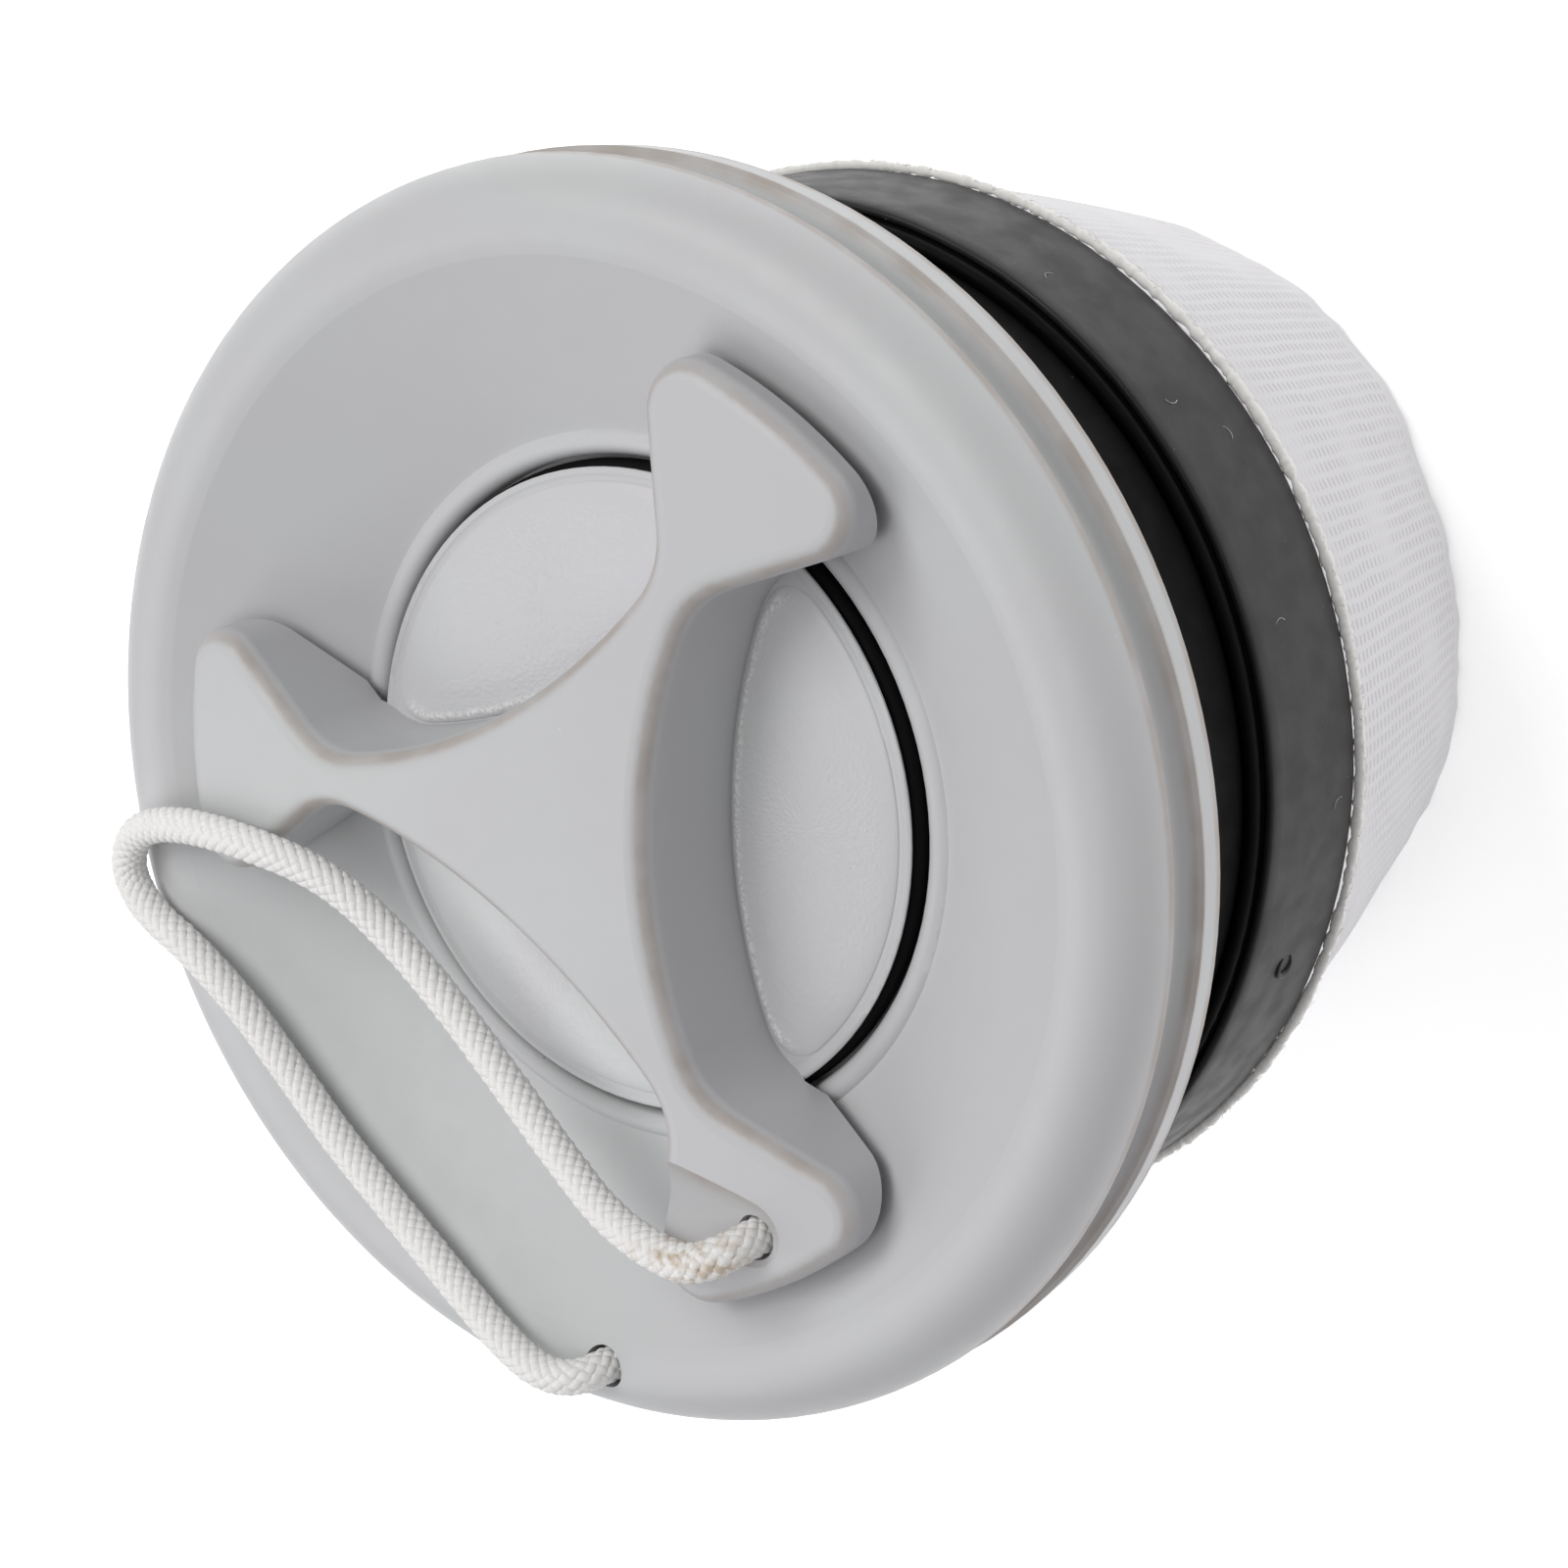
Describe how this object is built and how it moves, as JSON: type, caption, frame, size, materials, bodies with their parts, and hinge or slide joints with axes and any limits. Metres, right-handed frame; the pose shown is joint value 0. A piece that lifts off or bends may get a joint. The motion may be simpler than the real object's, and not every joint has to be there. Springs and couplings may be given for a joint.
{
  "type": "deck drain with screw cap",
  "caption": "Round flanged boat deck drain with a three-arm screw cap on a tether cord, a black rear clamp collar and a white fabric drain sock.",
  "frame": {"origin": "on the drain's axis, in the plane of the lip's underside, which sits on the deck", "axes": "+Z along the drain's axis, out of the deck towards the cap's handle; +X and +Y lie in the deck face"},
  "size_m": [0.1058, 0.1058, 0.0849],
  "materials": {
    "gray_plastic": "fine-grained satin moulding",
    "plug_plastic": "smooth satin moulding",
    "black_plastic": "smooth black moulding",
    "black_rubber": "dull seal rubber",
    "band_rubber": "dull dusty moulded rubber",
    "sock_fabric": "coated open weave",
    "cord_braid": "soft round braid"
  },
  "bodies": {
    "root": {"front_flange": "gray_plastic", "flange_gasket": "black_rubber", "flange_knot": "cord_braid", "tether_cord": "cord_braid"},
    "cap_seal": {"cap_seal": "black_rubber"},
    "cap": {"cap_handle": "gray_plastic", "cap_plug": "plug_plastic", "cap_knot": "cord_braid"},
    "hull_seal": {"hull_seal": "black_rubber"},
    "rear": {"rear_collar": "black_plastic", "clamp_band": "band_rubber", "sock_ring": "black_plastic", "drain_sock": "sock_fabric"}
  },
  "joints": [
    {"name": "cap_lift", "type": "slide", "parent": "root", "child": "cap_seal", "axis": [0, 0, 1], "range_m": [0, 0.0081], "deforming": ["tether_cord"]},
    {"name": "cap_turn", "type": "hinge", "parent": "cap_seal", "child": "cap", "pos_m": [0, 0, 0], "axis": [0, 0, 1], "range_deg": [0, 720]},
    {"name": "rear_travel", "type": "slide", "parent": "root", "child": "hull_seal", "axis": [0, 0, 1], "range_m": [-0.0081, 0]},
    {"name": "rear_turn", "type": "hinge", "parent": "hull_seal", "child": "rear", "pos_m": [0, 0, 0], "axis": [0, 0, 1], "range_deg": [-720, 0]}
  ],
  "couplings": [
    {"joint": "cap_lift", "follows": "cap_turn", "m_per_rad": 0.00063662},
    {"joint": "rear_travel", "follows": "rear_turn", "m_per_rad": 0.00063662}
  ]
}
